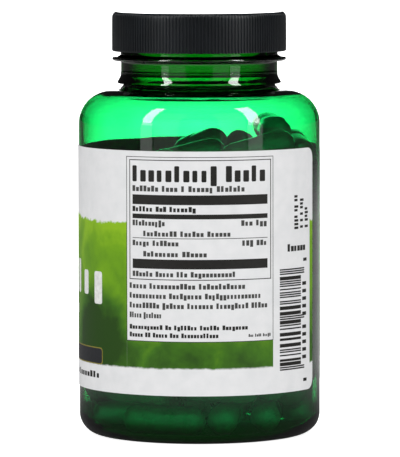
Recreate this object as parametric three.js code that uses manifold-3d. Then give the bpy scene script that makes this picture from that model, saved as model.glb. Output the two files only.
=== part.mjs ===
// A round supplement bottle of translucent green plastic, closed by a black ribbed screw cap.
// It wears a printed paper label most of the way round, and is nearly full of loose capsules.
// Millimetres, +Z up. The origin is the centre of the ring that the bottle stands on.
// Angles are degrees round +Z from -Y, the side that is looked at, towards +X.
import * as THREE from "three";
import { mergeVertices } from "three/addons/utils/BufferGeometryUtils.js";
import Module from "manifold-3d";

const wasm = await Module();
wasm.setup();

// Driving dimensions
const FACETS = 48; // sides of every round form, so that faces that nest stay parallel
const BODY_RADIUS = 32.9;
const WALL = 0.7;
const BUMPER_RADIUS = 33.2; // the base stands a little proud, to guard the label
const BUMPER_TOP = 9;
const HEEL_RADIUS = 6.3;
const BASE_THICKNESS = 1.4;
const PUSH_UP = 4.6; // height of the dome under the base
const PUSH_UP_RADIUS = 23.6;
const SHOULDER_RADIUS = 9;
const SHOULDER_TOP = 94;
const UNDERCUT_RADIUS = 20.5;
const FLANGE_RADIUS = 22.5;
const FLANGE_BOTTOM = 96;
const NECK_RADIUS = 21.3;
const BORE_RADIUS = 19.2;
const RING_RADIUS = 23.65; // the ring that the bottle is carried by while it is made
const RING_BOTTOM = 102.3;
const RING_THICKNESS = 1.2;
const MOUTH_TOP = 113.2;

const THREAD_PITCH = 4.233; // six turns to the inch
const NECK_THREAD_RADIUS = 22.4;
const NECK_THREAD_START = 107.3;

const CAP_RADIUS = 23.8;
const CAP_BOTTOM = 104.75;
const CAP_TOP = 115.5;
const CAP_TOP_THICKNESS = 1.2;
const CAP_BORE_RADIUS = 22.8;
const CAP_EDGE_RADIUS = 1.5;
const RIB_COUNT = 160;
const RIB_DEPTH = 0.35;
const CAP_THREAD_RADIUS = 21.75;
const CAP_THREAD_DROP = 1.75; // the cap's thread bears up under the neck's

const LINER_RADIUS = 22.3;
const LINER_THICKNESS = 0.9;
const SEAL_GAP = 0.1;

const LABEL_BOTTOM = 13.5;
const LABEL_TOP = 79.1;
const LABEL_THICKNESS = 0.2;
const LABEL_GAP = 0.1;
const LABEL_RIGHT_END = 67.4;
const LABEL_BARE_ANGLE = 26; // the strip that the label leaves bare
const LABEL_CORNER = 3;

const CAPSULE_RADIUS = 4.26; // a size 00 capsule
const CAPSULE_LENGTH = 23.3;
const POURED_CAPSULES = 108;
const CAPSULE_ROOM = 0.07; // kept round each capsule, so that no two share space
const SHOWN_CAPSULES = 49; // those that can be seen are pieces of their own
const SEED = 21;
const HEAP_SLOPE = 0.12; // how much the capsules crowd to the right while they are poured
// The last few are laid on the heap: middle, heading round +Z from +X, and rise, in degrees.
const LAST_CAPSULES = [
  { x: -13, y: -23, z: 75, heading: -60, rise: 50 },
  { x: 25, y: 6, z: 77, heading: 75, rise: 0 },
  { x: 16, y: 12, z: 74, heading: 70, rise: 0 },
  { x: 16.2, y: -21.2, z: 78, heading: 36, rise: 19 },
  { x: -4.2, y: -9, z: 79, heading: -8, rise: 13 },
  { x: 20.9, y: 2.3, z: 84, heading: 81, rise: -5 },
];

// Solids

// A closed mesh as a solid, with its faces turned outwards.
function solid(geometry) {
  const bare = new THREE.BufferGeometry();
  const flat = geometry.index ? geometry.toNonIndexed() : geometry;
  bare.setAttribute("position", flat.getAttribute("position"));
  const merged = mergeVertices(bare, 1e-3);
  const vertProperties = merged.getAttribute("position").array;
  const triVerts = new Uint32Array(merged.index.array);
  const made = new wasm.Manifold(new wasm.Mesh({ numProp: 3, vertProperties, triVerts }));
  if (made.volume() > 0) return made;
  for (let i = 0; i < triVerts.length; i += 3) {
    [triVerts[i + 1], triVerts[i + 2]] = [triVerts[i + 2], triVerts[i + 1]];
  }
  return new wasm.Manifold(new wasm.Mesh({ numProp: 3, vertProperties, triVerts }));
}

function geometryOf(made) {
  const { numProp, vertProperties, triVerts } = made.getMesh();
  const count = vertProperties.length / numProp;
  const positions = new Float32Array(count * 3);
  for (let i = 0; i < count; i++) {
    positions.set(vertProperties.subarray(i * numProp, i * numProp + 3), i * 3);
  }
  const geometry = new THREE.BufferGeometry();
  geometry.setAttribute("position", new THREE.BufferAttribute(positions, 3));
  geometry.setIndex(new THREE.BufferAttribute(triVerts, 1));
  geometry.computeVertexNormals();
  return geometry;
}

// A point at a radius, an angle in degrees and a height.
function around(radius, degrees, height) {
  const angle = THREE.MathUtils.degToRad(degrees);
  return new THREE.Vector3(radius * Math.sin(angle), -radius * Math.cos(angle), height);
}

// A solid of revolution about +Z from [radius, height] pairs.
function turned(profile) {
  const points = profile.map(([radius, height]) => new THREE.Vector2(radius, height));
  return solid(new THREE.LatheGeometry(points, FACETS).rotateX(Math.PI / 2));
}

// Points of an arc in a profile, from one angle to another, in degrees from outwards to up.
function arc(centreRadius, centreHeight, radius, from, to, steps) {
  return Array.from({ length: steps + 1 }, (_, i) => {
    const angle = THREE.MathUtils.degToRad(from + ((to - from) * i) / steps);
    return [centreRadius + radius * Math.cos(angle), centreHeight + radius * Math.sin(angle)];
  });
}

// A solid through rings of equally many points, each end closed on its centre or on a given tip.
function lofted(rings, firstTip, lastTip) {
  const centre = (ring) =>
    ring.reduce((sum, point) => sum.add(point), new THREE.Vector3()).divideScalar(ring.length);
  const size = rings[0].length;
  const positions = [];
  const triangle = (...corners) => corners.forEach((corner) => positions.push(...corner.toArray()));
  const first = firstTip ?? centre(rings[0]);
  const last = lastTip ?? centre(rings.at(-1));
  for (let k = 0; k < size; k++) {
    const next = (k + 1) % size;
    triangle(first, rings[0][next], rings[0][k]);
    for (let i = 0; i + 1 < rings.length; i++) {
      triangle(rings[i][k], rings[i][next], rings[i + 1][next]);
      triangle(rings[i][k], rings[i + 1][next], rings[i + 1][k]);
    }
    triangle(last, rings.at(-1)[k], rings.at(-1)[next]);
  }
  const geometry = new THREE.BufferGeometry();
  geometry.setAttribute("position", new THREE.Float32BufferAttribute(positions, 3));
  return solid(geometry);
}

// Bottle

// The height of the dome above the inside or the outside of the base, at a radius.
const pushUpAt = (radius) => PUSH_UP * Math.max(0, 1 - (radius / PUSH_UP_RADIUS) ** 2);

const innerRadius = BODY_RADIUS - WALL;
const innerHeel = HEEL_RADIUS - WALL;
const shoulderCentre = BODY_RADIUS - SHOULDER_RADIUS;
const shoulderStart = SHOULDER_TOP - SHOULDER_RADIUS;
const ringTop = RING_BOTTOM + RING_THICKNESS;

function bottleProfile() {
  const underside = [0, 14, PUSH_UP_RADIUS].map((radius) => [radius, pushUpAt(radius)]);
  const body = [
    ...arc(BUMPER_RADIUS - HEEL_RADIUS, HEEL_RADIUS, HEEL_RADIUS, -90, 0, 4),
    [BUMPER_RADIUS, BUMPER_TOP],
    [BODY_RADIUS, BUMPER_TOP + 0.8],
    ...arc(shoulderCentre, shoulderStart, SHOULDER_RADIUS, 0, 90, 6),
  ];
  const neck = [
    [UNDERCUT_RADIUS, SHOULDER_TOP + 0.6],
    [UNDERCUT_RADIUS, FLANGE_BOTTOM],
    [FLANGE_RADIUS, FLANGE_BOTTOM],
    [FLANGE_RADIUS, FLANGE_BOTTOM + 0.35],
    [NECK_RADIUS + 0.15, FLANGE_BOTTOM + 1.4],
    [NECK_RADIUS, RING_BOTTOM],
    [RING_RADIUS, RING_BOTTOM + 0.3],
    [RING_RADIUS, ringTop - 0.3],
    [NECK_RADIUS + 0.6, ringTop],
    [NECK_RADIUS + 0.6, ringTop + 1.2],
    [NECK_RADIUS, ringTop + 1.5],
    [NECK_RADIUS, MOUTH_TOP - 0.6],
    [NECK_RADIUS - 0.4, MOUTH_TOP],
  ];
  const inside = [
    [BORE_RADIUS, MOUTH_TOP],
    [BORE_RADIUS, SHOULDER_TOP],
    ...arc(shoulderCentre, shoulderStart, SHOULDER_RADIUS - WALL, 90, 0, 4),
    ...arc(innerRadius - innerHeel, BASE_THICKNESS + innerHeel, innerHeel, 0, -90, 3),
    ...[PUSH_UP_RADIUS, 13, 0].map((radius) => [radius, BASE_THICKNESS + pushUpAt(radius)]),
  ];
  return [...underside, ...body, ...neck, ...inside];
}

// A one-turn ridge that climbs right-handed round a wall, fading into it at both ends.
function thread({ wallRadius, crestRadius, start, turns, rootWidth, crestWidth }) {
  const stepDegrees = 360 / FACETS;
  const steps = Math.round(turns * FACETS);
  const fade = 3; // steps over which each end runs out
  const inwards = Math.sign(crestRadius - wallRadius);
  const rings = [];
  for (let i = 0; i <= steps; i++) {
    const grown = Math.min(1, i / fade, (steps - i) / fade);
    const crest = THREE.MathUtils.lerp(wallRadius - 0.1 * inwards, crestRadius, grown);
    const height = start + (THREE.MathUtils.degToRad(i * stepDegrees) / (2 * Math.PI)) * THREAD_PITCH;
    const at = (radius, rise) => around(radius, i * stepDegrees, height + rise);
    const root = wallRadius - 0.4 * inwards;
    rings.push([
      at(root, -rootWidth / 2),
      at(crest, -crestWidth / 2),
      at(crest, crestWidth / 2),
      at(root, rootWidth / 2),
    ]);
  }
  return lofted(rings);
}

function bottle() {
  return turned(bottleProfile()).add(
    thread({
      wallRadius: NECK_RADIUS,
      crestRadius: NECK_THREAD_RADIUS,
      start: NECK_THREAD_START,
      turns: 1,
      rootWidth: 2.2,
      crestWidth: 0.9,
    }),
  );
}

// Cap and liner

const capCeiling = CAP_TOP - CAP_TOP_THICKNESS;

// A ring of the cap's outside: ridges and grooves in turn where depth is more than nothing.
function ribbedRing(radius, height, depth) {
  const count = RIB_COUNT * 2;
  return Array.from({ length: count }, (_, i) =>
    around(radius - (i % 2) * depth, (i * 360) / count, height),
  );
}

function cap() {
  const ribEnd = CAP_TOP - CAP_EDGE_RADIUS;
  const outside = lofted([
    ribbedRing(CAP_RADIUS, CAP_BOTTOM, RIB_DEPTH),
    ribbedRing(CAP_RADIUS, ribEnd, RIB_DEPTH),
    ribbedRing(CAP_RADIUS - 0.45, ribEnd + 1.05, 0),
    ribbedRing(CAP_RADIUS - CAP_EDGE_RADIUS, CAP_TOP, 0),
  ]);
  const cavity = turned([
    [0, CAP_BOTTOM - 1],
    [CAP_BORE_RADIUS, CAP_BOTTOM - 1],
    [CAP_BORE_RADIUS, capCeiling],
    [0, capCeiling],
  ]);
  const ridge = thread({
    wallRadius: CAP_BORE_RADIUS,
    crestRadius: CAP_THREAD_RADIUS,
    start: NECK_THREAD_START - CAP_THREAD_DROP,
    turns: 1.125,
    rootWidth: 1.5,
    crestWidth: 0.6,
  });
  return outside.subtract(cavity).add(ridge);
}

function liner() {
  const top = capCeiling - SEAL_GAP;
  return turned([
    [0, top - LINER_THICKNESS],
    [LINER_RADIUS, top - LINER_THICKNESS],
    [LINER_RADIUS, top],
    [0, top],
  ]);
}

// Label

// A strip bent round the body, drawn in towards its ends by the rounded corners.
function label() {
  const innerFace = BODY_RADIUS + LABEL_GAP;
  const outerFace = innerFace + LABEL_THICKNESS;
  const leftEnd = LABEL_RIGHT_END + LABEL_BARE_ANGLE - 360;
  const cornerDegrees = THREE.MathUtils.radToDeg(LABEL_CORNER / outerFace);
  const corner = [0.02, 0.3, 0.6].map((share) => share * cornerDegrees);
  const stepDegrees = 360 / FACETS;
  const inner = [];
  for (let k = Math.ceil((leftEnd + cornerDegrees) / stepDegrees); ; k++) {
    if (k * stepDegrees > LABEL_RIGHT_END - cornerDegrees) break;
    inner.push(k * stepDegrees);
  }
  const columns = [
    ...corner.map((degrees) => leftEnd + degrees),
    ...inner,
    ...corner.toReversed().map((degrees) => LABEL_RIGHT_END - degrees),
  ];
  const cutBack = (degrees) => {
    const fromEnd = Math.min(degrees - leftEnd, LABEL_RIGHT_END - degrees) / cornerDegrees;
    return fromEnd >= 1 ? 0 : LABEL_CORNER * (1 - Math.sqrt(1 - (1 - fromEnd) ** 2));
  };
  return lofted(
    columns.map((degrees) => [
      around(innerFace, degrees, LABEL_BOTTOM + cutBack(degrees)),
      around(outerFace, degrees, LABEL_BOTTOM + cutBack(degrees)),
      around(outerFace, degrees, LABEL_TOP - cutBack(degrees)),
      around(innerFace, degrees, LABEL_TOP - cutBack(degrees)),
    ]),
  );
}

// Capsules: poured in, then settled until none shares space with another or with the bottle

const settleRadius = CAPSULE_RADIUS + CAPSULE_ROOM;
const halfAxis = CAPSULE_LENGTH / 2 - CAPSULE_RADIUS;

// Seeded draws from 0 to 1.
function draws(seed) {
  const modulus = 2147483647;
  let state = seed * 48271;
  return () => {
    state = (state * 16807) % modulus;
    return state / modulus;
  };
}

// Where two segments come closest: the share of the way along each.
function closest(a, b) {
  const alongA = a.end.clone().sub(a.start);
  const alongB = b.end.clone().sub(b.start);
  const between = a.start.clone().sub(b.start);
  const aa = alongA.lengthSq();
  const bb = alongB.lengthSq();
  const ab = alongA.dot(alongB);
  const ac = alongA.dot(between);
  const bc = alongB.dot(between);
  const spread = aa * bb - ab * ab;
  const clamp = (x) => Math.min(1, Math.max(0, x));
  let onA = spread > 1e-9 ? clamp((ab * bc - ac * bb) / spread) : 0.5;
  const onB = clamp((ab * onA + bc) / bb);
  onA = clamp((ab * onB - ac) / aa);
  return [onA, onB];
}

const pointOn = (capsule, share) => capsule.start.clone().lerp(capsule.end, share);

// Pushes a point of a capsule, and the capsule with it.
function push(capsule, share, by) {
  const weight = (1 - share) ** 2 + share ** 2;
  capsule.start.addScaledVector(by, (1 - share) / weight);
  capsule.end.addScaledVector(by, share / weight);
}

function partPair(a, b) {
  const reach = 2 * (halfAxis + settleRadius);
  const apart = (a.start.z + a.end.z - b.start.z - b.end.z) / 2;
  if (Math.abs(apart) > reach) return;
  const [onA, onB] = closest(a, b);
  const gap = pointOn(a, onA).sub(pointOn(b, onB));
  const distance = gap.length();
  const overlap = 2 * settleRadius - distance;
  if (overlap <= 0) return;
  gap.multiplyScalar(overlap / 2 / Math.max(distance, 1e-6));
  push(a, onA, gap);
  push(b, onB, gap.negate());
}

// Brings a point back from a rounded corner of the inside; it turns down (-1) or up (1).
function keepInRound(point, by, centreRadius, centreHeight, cornerRadius, turns) {
  const radius = Math.hypot(point.x, point.y);
  const out = radius - centreRadius;
  const away = (point.z - centreHeight) * turns;
  const room = cornerRadius - settleRadius - 0.2;
  const reach = Math.hypot(out, away);
  if (out < 0 || away < 0 || reach < room) return;
  const back = room / reach - 1;
  const sideways = (out * back) / radius;
  by.set(point.x * sideways, point.y * sideways, away * turns * back);
}

// Keeps the ends and the middle of a capsule's axis off the wall, the corners and the base.
function keepInside(capsule) {
  const wallLimit = innerRadius * Math.cos(Math.PI / FACETS) - 0.1 - settleRadius;
  for (const share of [0, 1, 0.5]) {
    const point = pointOn(capsule, share);
    const radius = Math.hypot(point.x, point.y);
    const by = new THREE.Vector3();
    if (radius > wallLimit) by.set(point.x, point.y, 0).multiplyScalar(wallLimit / radius - 1);
    const slope = radius < PUSH_UP_RADIUS ? (2 * PUSH_UP * radius) / PUSH_UP_RADIUS ** 2 : 0;
    const floor = BASE_THICKNESS + pushUpAt(radius) + settleRadius * Math.hypot(1, slope) + 0.15;
    if (point.z < floor) by.z = floor - point.z;
    keepInRound(point, by, innerRadius - innerHeel, BASE_THICKNESS + innerHeel, innerHeel, -1);
    keepInRound(point, by, shoulderCentre, shoulderStart, SHOULDER_RADIUS - WALL, 1);
    push(capsule, share, by);
  }
  const middle = pointOn(capsule, 0.5);
  const along = capsule.end.clone().sub(capsule.start).setLength(halfAxis);
  capsule.start.copy(middle).sub(along);
  capsule.end.copy(middle).add(along);
}

// Each stage lets the capsules fall so far in a step, with so much shaking, for so many steps.
function settle(capsules, draw, stages) {
  const down = new THREE.Vector3(HEAP_SLOPE, 0, -1);
  const passes = 4;
  for (const { fall, shake, steps } of stages) {
    for (let step = 0; step < steps; step++) {
      for (const capsule of capsules) {
        const jolt = new THREE.Vector3(draw() - 0.5, draw() - 0.5, draw() - 0.5);
        push(capsule, draw(), down.clone().multiplyScalar(fall / 2).addScaledVector(jolt, shake));
      }
      for (let pass = 0; pass < passes; pass++) {
        capsules.forEach((a, i) => {
          for (let j = i + 1; j < capsules.length; j++) partPair(a, capsules[j]);
        });
        capsules.forEach(keepInside);
      }
    }
  }
}

function laidCapsule({ x, y, z, heading, rise }) {
  const [turn, tilt] = [heading, rise].map(THREE.MathUtils.degToRad);
  const level = halfAxis * Math.cos(tilt);
  const along = new THREE.Vector3(level * Math.cos(turn), level * Math.sin(turn), halfAxis * Math.sin(tilt));
  const middle = new THREE.Vector3(x, y, z);
  return { start: middle.clone().sub(along), end: middle.clone().add(along) };
}

function pouredCapsules() {
  const draw = draws(SEED);
  const perLayer = 7;
  const capsules = Array.from({ length: POURED_CAPSULES }, (_, i) => {
    const middle = around(4 + 16 * draw(), draw() * 360, 14 + 11 * Math.floor(i / perLayer));
    const along = new THREE.Vector3(draw() - 0.5, draw() - 0.5, (draw() - 0.5) * 0.7);
    along.setLength(halfAxis);
    return { start: middle.clone().sub(along), end: middle.clone().add(along) };
  });
  settle(capsules, draw, [
    { fall: 0.3, shake: 0.3, steps: 700 },
    { fall: 0.12, shake: 0.5, steps: 500 },
    { fall: 0.08, shake: 0.1, steps: 200 },
  ]);
  capsules.push(...LAST_CAPSULES.map(laidCapsule));
  settle(capsules, draw, [
    { fall: 0.06, shake: 0.02, steps: 150 },
    { fall: 0.03, shake: 0, steps: 200 },
    { fall: 0, shake: 0, steps: 300 },
  ]);
  return capsules;
}

// A capsule's outer form: round sides, and domes cut to a few flats or to plain points.
function capsuleSolid({ start, end }, sides, domes) {
  const along = end.clone().sub(start).normalize();
  const turn = new THREE.Quaternion().setFromUnitVectors(new THREE.Vector3(0, 0, 1), along);
  const middle = start.clone().add(end).divideScalar(2);
  const place = (point) => point.applyQuaternion(turn).add(middle);
  const ring = (degrees, side) => {
    const angle = THREE.MathUtils.degToRad(degrees);
    const height = side * (halfAxis + CAPSULE_RADIUS * Math.sin(angle));
    return Array.from({ length: sides }, (_, k) =>
      place(around(CAPSULE_RADIUS * Math.cos(angle), (k * 360) / sides, height)),
    );
  };
  const tip = (side) => place(new THREE.Vector3(0, 0, (side * CAPSULE_LENGTH) / 2));
  const lower = domes.map((degrees) => ring(degrees, -1));
  const upper = domes.map((degrees) => ring(degrees, 1)).toReversed();
  return lofted([...lower, ...upper], tip(-1), tip(1));
}

// How well a capsule can be seen: at the top of the heap, under the label, or past its ends.
function showing(capsule) {
  const ends = [0, 0.5, 1].map((share) => pointOn(capsule, share));
  const outermost = ends.reduce((a, b) => (Math.hypot(a.x, a.y) > Math.hypot(b.x, b.y) ? a : b));
  const nearWall = Math.hypot(outermost.x, outermost.y) - (innerRadius - settleRadius);
  const degrees = THREE.MathUtils.radToDeg(Math.atan2(outermost.x, -outermost.y));
  const bareMiddle = LABEL_RIGHT_END + LABEL_BARE_ANGLE / 2;
  const fromBare = Math.abs(degrees - bareMiddle);
  const highest = Math.max(capsule.start.z, capsule.end.z);
  const lowest = Math.min(capsule.start.z, capsule.end.z);
  const overTop = highest - LABEL_TOP + 3;
  const underLabel = nearWall > -2 ? LABEL_BOTTOM + 4 - lowest : -20;
  const inStrip = nearWall > -3 ? LABEL_BARE_ANGLE * 0.75 - fromBare : -20;
  return Math.max(overTop, underLabel, inStrip / 3);
}

const apart = (a, b) => {
  const [onA, onB] = closest(a, b);
  return pointOn(a, onA).distanceTo(pointOn(b, onB));
};

// The hidden capsules as one heap, each joined to the next it touches by a small bridge.
// Those that touch none of them are left over.
function heap(hidden) {
  const sides = 6;
  const domes = [20];
  const bridgeRadius = 1.6;
  const touching = 2 * settleRadius + 0.35;
  const reached = [hidden.at(-1)];
  let waiting = hidden.slice(0, -1);
  let made = capsuleSolid(reached[0], sides, domes);
  for (const placed of reached) {
    const joins = waiting.filter((capsule) => apart(placed, capsule) < touching);
    for (const capsule of joins) {
      const [onPlaced, onNext] = closest(placed, capsule);
      const between = pointOn(placed, onPlaced).lerp(pointOn(capsule, onNext), 0.5);
      const bridge = new THREE.OctahedronGeometry(bridgeRadius).translate(...between.toArray());
      made = made.add(capsuleSolid(capsule, sides, domes)).add(solid(bridge));
    }
    reached.push(...joins);
    waiting = waiting.filter((capsule) => !joins.includes(capsule));
  }
  return { made, leftOver: waiting };
}

// The object

const greenPlastic = new THREE.MeshStandardMaterial({
  color: 0x0fa84a,
  roughness: 0.08,
  metalness: 0,
  transparent: true,
  opacity: 0.45,
});
const blackPlastic = new THREE.MeshStandardMaterial({ color: 0x16191b, roughness: 0.42, metalness: 0 });
const pulpBoard = new THREE.MeshStandardMaterial({ color: 0xe9e4d8, roughness: 0.9, metalness: 0 });
const labelPaper = new THREE.MeshStandardMaterial({ color: 0xe6e7e5, roughness: 0.45, metalness: 0 });
const capsuleShell = new THREE.MeshStandardMaterial({ color: 0x4a2c33, roughness: 0.3, metalness: 0 });

function piece(name, made, material) {
  const mesh = new THREE.Mesh(geometryOf(made), material);
  mesh.name = name;
  return mesh;
}

const supplementBottle = new THREE.Group();
supplementBottle.add(piece("bottle", bottle(), greenPlastic));
supplementBottle.add(piece("cap", cap(), blackPlastic));
supplementBottle.add(piece("cap_liner", liner(), pulpBoard));
supplementBottle.add(piece("label", label(), labelPaper));

const byShowing = pouredCapsules().sort((a, b) => showing(b) - showing(a));
const { made: heaped, leftOver } = heap(byShowing.slice(SHOWN_CAPSULES));
[...byShowing.slice(0, SHOWN_CAPSULES), ...leftOver].forEach((capsule, i) => {
  const name = `capsule_${String(i + 1).padStart(2, "0")}`;
  supplementBottle.add(piece(name, capsuleSolid(capsule, 8, [48, 4]), capsuleShell));
});
supplementBottle.add(piece("capsule_heap", heaped, capsuleShell));

export default supplementBottle;
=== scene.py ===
"""Looks of a round green supplement bottle: a ribbed black cap, a printed wrap label and capsules."""

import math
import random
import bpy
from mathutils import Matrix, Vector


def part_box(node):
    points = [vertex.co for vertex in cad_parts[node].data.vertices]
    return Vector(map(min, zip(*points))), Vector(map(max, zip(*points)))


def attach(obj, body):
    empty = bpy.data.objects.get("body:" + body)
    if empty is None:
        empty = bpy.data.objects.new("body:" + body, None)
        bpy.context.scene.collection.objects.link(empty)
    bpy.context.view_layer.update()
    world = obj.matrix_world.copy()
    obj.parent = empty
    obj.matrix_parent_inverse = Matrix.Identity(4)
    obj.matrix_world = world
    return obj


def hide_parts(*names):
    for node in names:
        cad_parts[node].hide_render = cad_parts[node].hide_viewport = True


bl_info = {
    "name": "Supplement Bottle",
    "version": (1, 0, 0),
    "blender": (4, 5, 0),
    "location": "View3D > Sidebar > Bottle",
    "description": "Builds a translucent bottle, its cap, label and capsules around its packed frame",
    "category": "Add Mesh",
}

import bmesh
import bpy
from bpy.props import FloatProperty, FloatVectorProperty, IntProperty, PointerProperty
from mathutils import Matrix, Vector, noise

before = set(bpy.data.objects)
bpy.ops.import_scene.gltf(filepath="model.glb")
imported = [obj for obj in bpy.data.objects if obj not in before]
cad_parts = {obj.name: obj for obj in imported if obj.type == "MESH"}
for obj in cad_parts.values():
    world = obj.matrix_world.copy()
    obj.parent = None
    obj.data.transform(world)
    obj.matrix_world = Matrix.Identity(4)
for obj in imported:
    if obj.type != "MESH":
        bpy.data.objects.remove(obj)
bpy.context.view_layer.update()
MM = 0.001


def linear(code):
    """An sRGB hex colour as the linear RGBA that Blender's sockets take."""
    parts = [int(code[i : i + 2], 16) / 255 for i in (0, 2, 4)]
    return [c / 12.92 if c <= 0.04045 else ((c + 0.055) / 1.055) ** 2.4 for c in parts] + [1.0]


def far_corner(name):
    """The corner of a node's box with the greatest X, Y and Z."""
    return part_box(name)[1]


BOTTLE_TOP = far_corner("bottle").z
CAP_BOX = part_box("cap")
LABEL_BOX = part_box("label")
LINER_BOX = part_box("cap_liner")

# The screw thread, in millimetres: where it starts on the neck, and how far it climbs in a turn
THREAD_START = 107.3
THREAD_PITCH = 4.233


# Settings that a user would change


class BottleSettings(bpy.types.PropertyGroup):
    body_radius: FloatProperty(
        name="Body radius", description="Outside radius of the straight wall",
        default=far_corner("label").y - 0.27 * MM, subtype="DISTANCE", unit="LENGTH",
    )
    wall: FloatProperty(
        name="Wall", description="Thickness of the blown body wall",
        default=0.7 * MM, subtype="DISTANCE", unit="LENGTH",
    )
    tint: FloatVectorProperty(
        name="Tint", description="Colour that the plastic lets through",
        default=linear("00e4ba")[:3], subtype="COLOR", min=0, max=1,
    )
    depth: FloatProperty(
        name="Depth of colour", description="How strongly a metre of the plastic takes light away",
        default=3400.0, min=0,
    )


class CapSettings(bpy.types.PropertyGroup):
    rib_count: IntProperty(name="Ribs", description="Grip ribs round the cap", default=160, min=12)
    rib_depth: FloatProperty(
        name="Rib depth", description="How deep the grooves between the ribs are",
        default=0.3 * MM, subtype="DISTANCE", unit="LENGTH",
    )
    colour: FloatVectorProperty(
        name="Colour", description="Colour of the moulded cap",
        default=linear("0c1217")[:3], subtype="COLOR", min=0, max=1,
    )


class LabelSettings(bpy.types.PropertyGroup):
    thickness: FloatProperty(
        name="Thickness", description="Thickness of the label stock as drawn",
        default=0.17 * MM, subtype="DISTANCE", unit="LENGTH",
    )
    corner: FloatProperty(
        name="Corner", description="Radius of the label's die-cut corners",
        default=3.0 * MM, subtype="DISTANCE", unit="LENGTH",
    )
    ink: FloatVectorProperty(
        name="Ink", description="Colour of the dark print",
        default=linear("23221f")[:3], subtype="COLOR", min=0, max=1,
    )


class CapsuleSettings(bpy.types.PropertyGroup):
    radius: FloatProperty(
        name="Radius", description="Outside radius of the capsule's longer half",
        default=4.1 * MM, subtype="DISTANCE", unit="LENGTH",
    )
    sleeve: FloatProperty(
        name="Sleeve", description="How far the shorter half stands out round the longer one",
        default=0.1 * MM, subtype="DISTANCE", unit="LENGTH",
    )


class StageSettings(bpy.types.PropertyGroup):
    distance: FloatProperty(
        name="Camera distance", description="From the bottle's axis to the camera",
        default=1.278, subtype="DISTANCE", unit="LENGTH",
    )
    eye: FloatProperty(
        name="Eye height", description="Height of the camera over the table",
        default=0.1544, subtype="DISTANCE", unit="LENGTH",
    )
    aside: FloatProperty(
        name="Aside", description="How far the camera stands to the right of the bottle's axis",
        default=0.15 * MM, subtype="DISTANCE", unit="LENGTH",
    )
    lens: FloatProperty(name="Lens", description="Focal length in millimetres", default=368.7, unit="CAMERA")
    lean: FloatProperty(
        name="Lean", description="How far the camera is turned about its own view",
        default=math.radians(-0.1), subtype="ANGLE", unit="ROTATION",
    )


SETTINGS = {
    "bottle_settings": BottleSettings,
    "cap_settings": CapSettings,
    "label_settings": LabelSettings,
    "capsule_settings": CapsuleSettings,
    "stage_settings": StageSettings,
}


# Mesh helpers


def finished(name, bm, material, body, smooth_angle=40):
    """Makes a piece of a bmesh: smooth but for its sharp edges, riding on a body, with a material slot."""
    bmesh.ops.recalc_face_normals(bm, faces=bm.faces)
    sharp = math.radians(smooth_angle)
    for face in bm.faces:
        face.smooth = True
    for edge in bm.edges:
        if len(edge.link_faces) == 2:
            edge.smooth = edge.calc_face_angle(0) < sharp
    mesh = bpy.data.meshes.new(name)
    bm.to_mesh(mesh)
    bm.free()
    mesh.materials.append(material)
    piece = bpy.data.objects.new(name, mesh)
    bpy.context.scene.collection.objects.link(piece)
    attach(piece, body)
    return piece


def arc(centre_r, centre_z, radius, start, end, steps):
    """Points of a round stretch of a profile, from one angle to another in degrees."""
    turns = [math.radians(start + (end - start) * i / steps) for i in range(steps + 1)]
    return [(centre_r + radius * math.cos(t), centre_z + radius * math.sin(t)) for t in turns]


def rows(radius, low, high, step):
    """Evenly spaced points up or down a straight wall, its ends left out."""
    count = max(1, round(abs(high - low) / step))
    return [(radius, low + (high - low) * i / count) for i in range(1, count)]


def spun(profile, steps):
    """A closed solid of revolution about Z from (radius, height) pairs in millimetres, from axis to axis."""
    bm = bmesh.new()
    verts = [bm.verts.new((0, -r * MM, z * MM)) for r, z in profile]
    edges = [bm.edges.new(pair) for pair in zip(verts, verts[1:])]
    bmesh.ops.spin(
        bm, geom=verts + edges, cent=(0, 0, 0), axis=(0, 0, 1), dvec=(0, 0, 0),
        angle=math.tau, steps=steps, use_merge=True, use_duplicate=False,
    )
    bmesh.ops.remove_doubles(bm, verts=bm.verts, dist=0.002 * MM)
    bmesh.ops.dissolve_degenerate(bm, edges=bm.edges, dist=0.001 * MM)
    return bm


def polar(point):
    """Radius, angle in turns from the near side towards +X, and height, in millimetres and turns."""
    return math.hypot(point.x, point.y) / MM, (math.atan2(point.x, -point.y) / math.tau) % 1, point.z / MM


def pushed_out(bm, chosen, rise):
    """Moves the chosen points away from the axis by rise(radius, turn, height) millimetres."""
    for vert in bm.verts:
        radius, turn, height = polar(vert.co)
        if radius > 1 and chosen(radius, height):
            vert.co.xy *= 1 + rise(radius, turn, height) / radius


def ridge(start, turns, pitch, root, crest):
    """How much of a thread's full height stands at a place on a wall, from 0 to 1."""

    def share(turn, height):
        """The share at one place."""
        tallest = 0.0
        for lap in range(math.ceil(turns) + 1):
            along = turn + lap
            if along > turns:
                break
            off = abs(height - start - along * pitch)
            flank = (root / 2 - off) / (root / 2 - crest / 2)
            fade = min(1, along / 0.06, (turns - along) / 0.06)
            tallest = max(tallest, min(1, max(0, flank)) * max(0, fade))
        return tallest

    return share


def wrapped(bm, radius):
    """Bends a flat drawing (x along the arc, y depth, z up) round the bottle."""
    for vert in bm.verts:
        angle = vert.co.x / radius
        out = radius + vert.co.y
        vert.co = (out * math.sin(angle), -out * math.cos(angle), vert.co.z)


def sliced(bm, step):
    """Cuts a flat drawing across at even places, so that it can bend."""
    low = min(v.co.x for v in bm.verts)
    high = max(v.co.x for v in bm.verts)
    for i in range(math.ceil(low / step), math.floor(high / step) + 1):
        geom = bm.verts[:] + bm.edges[:] + bm.faces[:]
        bmesh.ops.bisect_plane(bm, geom=geom, dist=1e-7, plane_co=(i * step, 0, 0), plane_no=(1, 0, 0))


# Material helpers


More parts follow.
